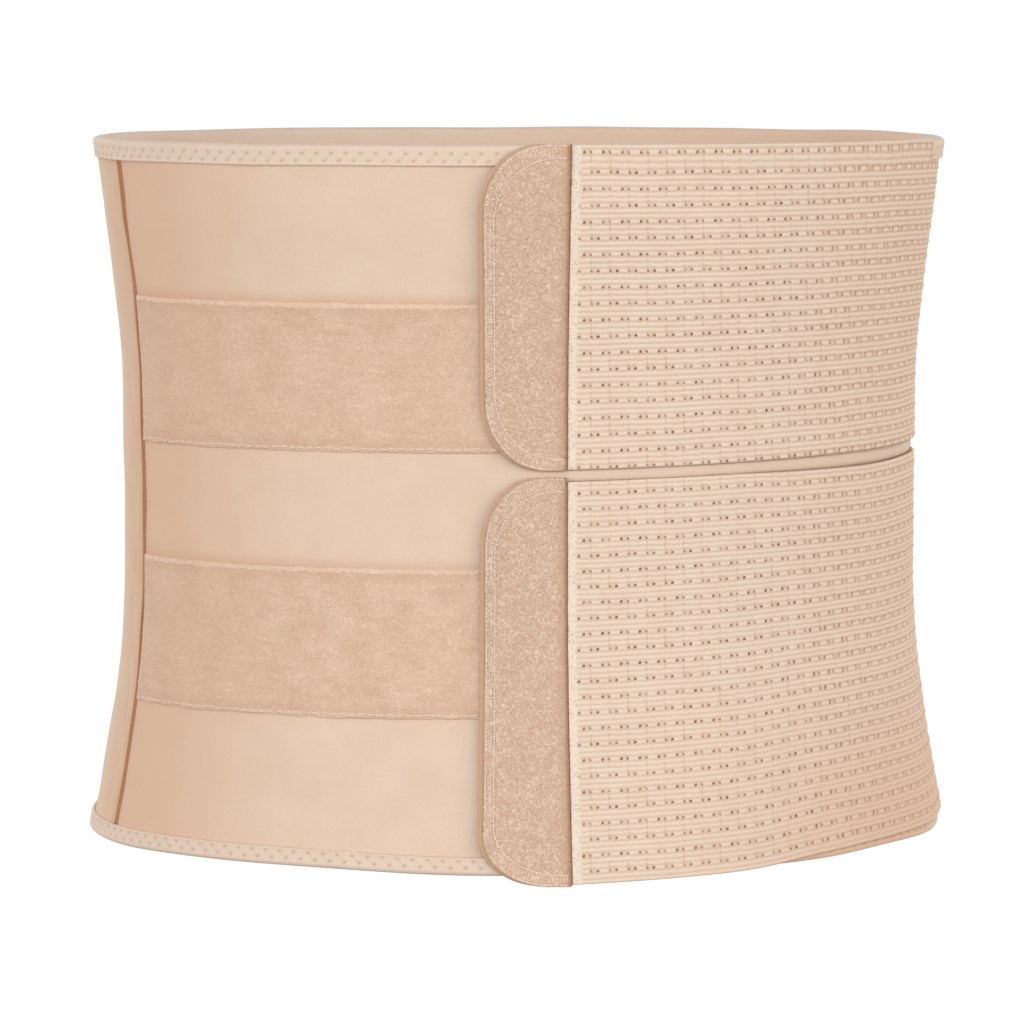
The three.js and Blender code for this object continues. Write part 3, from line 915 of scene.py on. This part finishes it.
def eyelet_period(girth, level):
    """Number of eyelet periods from the first one. The knit keeps its pitch where the body is wider."""
    return (girth * read_smooth(SECTIONS, 1, level / HALF_HEIGHT) - EYELET_ORIGIN) / EYELET_PERIOD


def strap_columns():
    """Girths of a strap's columns, closer where the strap shows most."""
    fine = np.arange(STRAP_START + 0.45, FINE_REACH, FINE_PITCH)
    coarse = np.arange(FINE_REACH, STRAP_REACH - 0.4, COARSE_PITCH)
    return join([STRAP_START, STRAP_START + 0.15], fine, coarse, [STRAP_REACH - 0.12, STRAP_REACH])


def knit_relief(period, row):
    """Height of the ribs, knuckles and eyelets over a strap's mean face. Even rows have the strong eyelet
    first, and a raised knuckle lies midway between two pairs."""
    crest = 1 - np.abs(2 * frac(RIBS * row + 0.5) - 1) ** 2.0
    nearest = np.floor(row + 0.5)
    up = (row - nearest) * ROW_PITCH
    odd = nearest % 2
    in_row = bump(up, 0.75)
    knuckle = (frac(period - PAIR_SHIFT - odd * PAIR_SHIFT_ODD) - 0.5) * EYELET_PERIOD
    raised = bump(knuckle, 1.45, 4)
    tie = bump((frac(period - WEAK_SHIFT - TIE_SHIFT + 0.5) - 0.5) * EYELET_PERIOD, 0.55)
    between = ease(frac(row / 2), 0.06, 0.14) * (1 - ease(frac(row / 2), 0.38, 0.46))
    return 0.34 * crest - 0.22 + in_row * (0.26 * raised - 0.18 * (1 - raised)) - 0.10 * tie * between


def strap(name, key, top_column, foot_column, material):
    """Ribbed elastic strap with rows of paired eyelets, from the tab round to the sewn end."""
    knit = KNITS[key]
    parity = 0.0 if knit["left_first"] else 1.0
    girths = strap_columns()
    at = girths[:, None]
    top = strap_edge(at, top_column)
    foot = strap_edge(at, foot_column)
    tall = top - foot
    pitch = (tall - knit["last"] - knit["second"]) / (knit["rows"] - 2)
    row_top = -knit["first"] / (knit["second"] - knit["first"])
    row_foot = knit["rows"] - 1 + knit["last"] / pitch
    steps = knit["row_steps"]
    offset = 0.5 if steps % 2 else 0.0
    shortest = float(row_foot.min())
    numbers = (np.arange(math.ceil(row_top * steps), math.ceil(shortest * steps)) + offset) / steps
    rim = 0.03
    numbers = numbers[(numbers > row_top + rim) & (numbers < shortest - rim)]
    rows = join(row_foot, row_foot - rim, numbers[::-1] + at * 0, row_top + rim + at * 0, row_top + at * 0)
    limit = HALF_HEIGHT - 1.6 * ease(at, FRONT_REACH - 1.5, FRONT_REACH + 1.5)
    first_gap = knit["second"] - knit["first"]
    depth = np.where(rows < 1, knit["first"] + rows * first_gap, knit["second"] + (rows - 1) * pitch)
    levels = np.minimum(top - depth, limit)
    period = eyelet_period(at, levels)
    # The ribs below an even row wander a little with the eyelets
    even = (np.floor(rows) + parity) % 2 == 0
    sway = 0.018 * np.sin(TAU * (period - 0.2)) * np.sin(math.pi * frac(rows)) * even
    swayed = rows + parity + sway + 0.012 * waves(at, levels, 24, 31)
    shown = ease(at, STRAP_START + SELVAGE - 0.5, STRAP_START + SELVAGE + 0.9)
    shown = shown * (1 - ease(at, STRAP_REACH - 4, STRAP_REACH - 2)) + rows * 0
    fuzz = (0.20 * curls(at, levels, 1.5, 33) - 0.1) * (1 - shown)
    edge = np.minimum(levels - foot, top - levels)
    ends = np.minimum(at - STRAP_START, STRAP_REACH - at)
    base = strap_lift(at)
    swell = 0.10 * waves(at, levels, 40, 32)
    relief = knit_relief(period, swayed) * shown + fuzz
    outer = base + STRAP_THICKNESS - 0.05 + relief + swell
    outer = outer - rim_drop(edge, 0.7, 0.5) - rim_drop(ends, 0.6, 0.3)
    back_levels = top - np.linspace(0, 1, 9)[None, :] * tall
    back = base + back_levels * 0
    extra = (period, swayed, shown)
    return sweep(name, girths, (outer, back), (levels, back_levels), material, extra=extra)


def tab_outline(start, end, foot, top, foot_corner, top_corner):
    """Points round a tab's edge: along its foot from the strap, round the free side, back along its top."""
    end = max(end, start + CORNER_WIDTH + 0.1)
    angle = np.linspace(math.pi / 2, 0, 60)
    away = CORNER_WIDTH * (1 - np.cos(angle))
    straight = np.linspace(end - start, CORNER_WIDTH, 12)[:-1]
    distance = join(straight, away)
    below = np.stack([start + distance, foot + rim_drop(distance, CORNER_WIDTH, foot_corner)], axis=1)
    above = np.stack([start + distance, top - rim_drop(distance, CORNER_WIDTH, top_corner)], axis=1)
    side = np.stack([np.full(40, start), np.linspace(foot + foot_corner, top - top_corner, 42)[1:-1]], axis=1)
    return np.concatenate([below, side, above[::-1]])


def distance_to(line, girths, levels):
    """Distance of places to a line of points."""
    spots = np.stack([girths.ravel(), levels.ravel()], axis=1)
    best = np.full(len(spots), 1e9)
    for first, second in zip(line[:-1], line[1:]):
        run = second - first
        share = np.clip(((spots - first) @ run) / max(run @ run, 1e-9), 0, 1)
        away = spots - first - share[:, None] * run
        best = np.minimum(best, (away * away).sum(1))
    return np.sqrt(best).reshape(girths.shape)


def border_line(key, side, top, foot, corner):
    """Line inside a tab's edge, so far in from each side."""
    shape = TABS[key]
    return tab_outline(TAB_START + side, BORDER_END, shape["foot"] + foot, shape["top"] - top,
                       shape["foot_corner"] - corner, shape["top_corner"] - corner)


def along_line(line, at):
    """Places on a line of points at lengths along it."""
    steps = lengths_along(*line.T)
    share = at / at[-1] * steps[-1]
    return np.stack([np.interp(share, steps, line[:, 0]), np.interp(share, steps, line[:, 1])], axis=1)


def tab_columns(start, end, pitch):
    steps = int(CORNER_WIDTH * math.pi / 2 / pitch)
    near = CORNER_WIDTH * (1 - np.cos(np.linspace(0, math.pi / 2, steps)))
    far = np.arange(CORNER_WIDTH + pitch, end - start - 0.2, pitch)
    return start + join(near, far, [end - start - 0.1, end - start])


def tab_body(name, start, shape, base, thickness, pitch, rows, material, relief):
    """Thin body in a tab's outline. The relief gives its outer face's height and mark."""
    girths = tab_columns(start, DITCH_END, pitch)
    low = shape["foot"] + rim_drop(girths - start, CORNER_WIDTH, shape["foot_corner"])
    high = shape["top"] - rim_drop(girths - start, CORNER_WIDTH, shape["top_corner"])
    tall = (high - low)[:, None]
    share = spread(100.0, 100.0 / rows, 0.6) / 100.0
    levels = low[:, None] + tall * share[None, :]
    grid = np.broadcast_to(girths[:, None], levels.shape)
    rim = distance_to(tab_outline(start, DITCH_END + 3, **shape), grid, levels)
    height, mark = relief(grid, levels, rim)
    outer = base + thickness + height
    back_levels = low[:, None] + tall * np.linspace(1, 0, 12)[None, :]
    back = base + back_levels * 0
    return sweep(name, girths, (outer, back), (levels, back_levels), material, mark=mark)


def tab(name, key, material):
    """Plush-faced tab with a stitched border, rounded free corners and a ragged ditch beside the strap."""
    line = border_line(key, **INNER_LINE)

    def relief(girths, levels, rim):
        sewn = distance_to(line, girths, levels)
        pile = 0.26 * curls(girths, levels, 1.9, 41) + 0.06 * waves(girths, levels, 1.2, 42)
        swell = 0.08 * waves(girths, levels, 14, 43)
        ragged = 0.75 + 0.22 * waves(levels, girths * 0, 2.2, 44) + 0.14 * waves(levels, girths * 0, 0.9, 45)
        ditch = 1 - ease(DITCH_END - girths, 0.1, 0.9 + ragged * 0.7)
        height = pile + swell - 0.22 - 0.14 * bump(sewn, 0.6) - rim_drop(rim, 0.9, 0.6) - 0.6 * ditch
        return height, ditch

    return tab_body(name, TAB_START, TABS[key], TAB_BASE, TAB_THICKNESS, 0.40, 240, material, relief)


def tab_edge_stitches(name, key, material):
    """Bright threads that run along a tab's free edge and along its inner line."""
    starts, ends, lifts = [], [], []
    for insets, lift in ((EDGE_LINE, -0.42), (INNER_LINE, -0.28)):
        line = border_line(key, **insets)
        at = np.arange(0, lengths_along(*line.T)[-1], 1.45)
        starts.append(along_line(line, at)[:-1])
        ends.append(along_line(line, at + 0.15)[1:])
        lifts.append(np.full(len(at) - 1, TAB_BASE + TAB_THICKNESS + lift))
    starts, ends, lifts = (np.concatenate(part) for part in (starts, ends, lifts))
    return stitches(name, starts, ends, lifts, 0.5, 0.27, material)


def tab_stitches(name, key, material):
    """Overcast thread between a tab's edge and its inner line."""
    inner, outer = border_line(key, **INNER_LINE), border_line(key, **EDGE_LINE)
    rng = np.random.default_rng(51)
    at = np.arange(0, lengths_along(*inner.T)[-1], 1.05)
    at = at + rng.uniform(-0.15, 0.15, len(at))
    first, second = along_line(outer, at), along_line(inner, at)
    across = second - first
    lift = TAB_BASE + TAB_THICKNESS - 0.32
    return stitches(name, first + across * 0.15, first + across * 0.92, lift, 0.36, 0.14, material)


def hook_tape(name, key, material):
    """Hook tape under a tab. Its brown edge shows beside the free side."""
    def relief(girths, levels, rim):
        teeth = 0.03 * np.sin(girths * TAU / HOOK_PITCH) * np.sin(levels * TAU / HOOK_ROW)
        return teeth - rim_drop(rim, 1.5, 0.8), np.zeros(girths.shape)

    start = TAB_START - HOOK_SHOW
    return tab_body(name, start, TABS[key], STRAP_BASE, HOOK_THICKNESS, 0.8, 110, material, relief)


def sewn_end_stitches(material):
    """Two upright rows that sew each strap's end to the back panel."""
    starts, ends, lifts = [], [], []
    for top_column, foot_column in ((1, 2), (3, 4)):
        for inset in END_ROWS:
            girth = STRAP_REACH - inset
            low = float(strap_edge(girth, foot_column)) + 3
            high = float(strap_edge(girth, top_column)) - 3
            high = min(high, HALF_HEIGHT - HEM_TOP_HEIGHT - 1)
            low = max(low, float(foot_level(girth)) + HEM_BOTTOM_HEIGHT + 1)
            for level in np.arange(low, high - END_STITCH - 0.2, END_STITCH_PITCH):
                starts.append((girth, level))
                ends.append((girth, level + END_STITCH))
                lifts.append(float(strap_lift(girth)) + STRAP_THICKNESS - 0.1)
    return stitches("strap_end_stitches", starts, ends, lifts, 0.5, 0.2, material)


def top_edge(girth):
    return np.full(np.shape(girth), HALF_HEIGHT)


def keep(piece, slot, *nodes):
    """Puts a piece on the part's body and lets it stand for its solids. Its slot is not used."""
    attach(piece, "root")
    if nodes:
        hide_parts(*nodes)
    return piece


def dress():
    """Makes every piece of the binder."""
    panel_cloth, hem_cloth = panel_finish(), hem_finish()
    elastic, plush, loops, hooks = elastic_finish(), plush_finish(), loop_finish(), hook_finish()
    light_thread = thread_finish("light_thread", THREAD_LIGHT, TAB_LIGHT)
    loop_thread = thread_finish("loop_thread", LOOP_LIGHT, LOOP_THREAD)
    plush_thread = thread_finish("plush_thread", TAB_LIGHT, TAB_THREAD)
    hem_thread = thread_finish("hem_thread", HEM_LIGHT, HEM_WARM)
    from_seam = -SEAM_REACH + SEAM_WIDTH / 2
    to_seam = WHOLE_GIRTH - SEAM_REACH - SEAM_WIDTH / 2
    front = keep(panel("front_panel_cloth", from_seam, FRONT_REACH, panel_cloth), "panel", "front_panel")
    back = keep(panel("back_panel_cloth", FRONT_REACH + END_GAP, to_seam, panel_cloth), "panel", "back_panel")
    seam = keep(side_seam(seam_finish()), "seam", "side_seam")
    hem_shapes = (
        ("top", HEM_TOP_HEIGHT, 1, top_edge, hem_lift),
        ("bottom", HEM_BOTTOM_HEIGHT, -1, foot_level, flat_lift),
    )
    for name, *shape in hem_shapes:
        keep(hem(f"hem_{name}_binding", *shape, hem_cloth), "hem", f"hem_{name}")
        keep(hem_stitches(f"hem_{name}_stitches", *shape, hem_thread), "hem")
    back_run = (WHOLE_GIRTH - FRONT_REACH - SEAM_REACH) * MM
    for key, columns in (("upper", (1, 2)), ("lower", (3, 4))):
        tape = f"loop_strip_{key}"
        strip = keep(loop_strip(tape + "_pile", STRIP_LEVELS[key], loops), "loop_tape", tape)
        beads = keep(strip_stitches(tape + "_stitches", STRIP_LEVELS[key], loop_thread), "loop_tape")
        hook = keep(hook_tape(f"hook_{key}_tape", key, hooks), "hook_tape", f"hook_{key}")
        plush_tab = keep(tab(f"tab_{key}_plush", key, plush), "tab_plush", f"tab_{key}")
        border = [keep(tab_stitches(f"tab_{key}_stitches", key, plush_thread), "tab_plush"),
                  keep(tab_edge_stitches(f"tab_{key}_edge", key, light_thread), "tab_plush")]
        tab_tall = (TABS[key]["top"] - TABS[key]["foot"]) * MM
        band = keep(strap(f"strap_{key}_elastic", key, *columns, elastic), "elastic", f"strap_{key}")
        along = np.linspace(STRAP_START, STRAP_REACH, 50)
        band_tall = float(np.mean(strap_edge(along, columns[0]) - strap_edge(along, columns[1]))) * MM
    keep(sewn_end_stitches(light_thread), "elastic")


# Camera, floor, backdrop and light
CAMERA_DISTANCE = 2.2
CAMERA_ELEVATION = math.radians(5.0)
CAMERA_AIM = (-0.0014, 0.0, -0.009)
VIEW_WIDTH_AT_AIM = 0.357
SENSOR_WIDTH = 36.0
FLOOR_LEVEL = -0.42
ROOM_RADIUS = 9.0
UNSEEN_BY = ("visible_diffuse", "visible_glossy", "visible_transmission", "visible_volume_scatter",
             "visible_shadow")


def make_camera():
    data = bpy.data.cameras.new("camera")
    data.sensor_width = SENSOR_WIDTH
    data.lens = SENSOR_WIDTH * CAMERA_DISTANCE / VIEW_WIDTH_AT_AIM
    data.dof.use_dof = False
    data.clip_end = 40.0
    camera = add_object("camera", data)
    camera.location = (
        CAMERA_AIM[0],
        CAMERA_AIM[1] - CAMERA_DISTANCE * math.cos(CAMERA_ELEVATION),
        CAMERA_AIM[2] + CAMERA_DISTANCE * math.sin(CAMERA_ELEVATION),
    )
    camera.rotation_euler = (math.pi / 2 - CAMERA_ELEVATION, 0.0, 0.0)
    bpy.context.scene.camera = camera


def glow(name, colour):
    material = bpy.data.materials.new(name)
    material.use_nodes = True
    tree = material.node_tree
    tree.nodes.clear()
    light = tree.nodes.new("ShaderNodeEmission")
    light.inputs["Color"].default_value = colour
    out = tree.nodes.new("ShaderNodeOutputMaterial")
    tree.links.new(light.outputs[0], out.inputs[0])
    return material


def make_stage():
    """A white floor and a white room round it, which only the camera sees."""
    white = glow("white_room", (1.0, 1.0, 1.0, 1.0))
    for name in ("floor", "backdrop"):
        work = bmesh.new()
        if name == "floor":
            bmesh.ops.create_circle(work, cap_ends=True, segments=96, radius=ROOM_RADIUS * 0.99)
            bmesh.ops.translate(work, verts=work.verts, vec=(0, 0, FLOOR_LEVEL))
        else:
            bmesh.ops.create_uvsphere(work, u_segments=48, v_segments=24, radius=ROOM_RADIUS)
        mesh = bpy.data.meshes.new(name)
        work.to_mesh(mesh)
        work.free()
        mesh.materials.append(white)
        thing = add_object(name, mesh)
        for ray in UNSEEN_BY:
            setattr(thing, ray, False)


COOL, WARM, EVEN = (0.92, 1.0, 1.07), (1.08, 1.0, 0.93), (1.0, 1.0, 1.0)
LAMPS = (
    # name, place, size, energy and colour
    ("front", (0.0, -2.7, 1.0), 1.6, 22.0, COOL),
    ("left", (-2.3, -1.7, 0.4), 1.6, 31.0, WARM),
    ("right", (2.3, -1.7, 0.4), 1.6, 31.0, WARM),
    ("back_left", (-1.5, 2.3, 0.7), 1.6, 26.0, EVEN),
    ("back_right", (1.5, 2.3, 0.7), 1.6, 26.0, EVEN),
)


def area_light(name, place_at, size, energy, colour):
    """Square soft light that faces the middle of the part."""
    data = bpy.data.lights.new(name, "AREA")
    data.shape = "SQUARE"
    data.size = size
    data.energy = energy
    data.color = colour
    lamp = add_object(name, data)
    lamp.location = place_at
    tilt = math.acos(place_at[2] / math.dist(place_at, (0, 0, 0)))
    lamp.rotation_euler = (tilt, 0.0, math.atan2(place_at[1], place_at[0]) + math.pi / 2)


def make_light():
    world = bpy.data.worlds.new("soft_room")
    world.use_nodes = True
    world.node_tree.nodes["Background"].inputs[0].default_value = (1.0, 0.99, 0.97, 1.0)
    world.node_tree.nodes["Background"].inputs[1].default_value = 0.40
    bpy.context.scene.world = world
    for name, place_at, size, energy, colour in LAMPS:
        area_light(name, place_at, size, energy, colour)
    bpy.context.scene.view_settings.view_transform = "Standard"
    bpy.context.scene.view_settings.look = "None"


make_camera()
make_stage()
make_light()
dress()
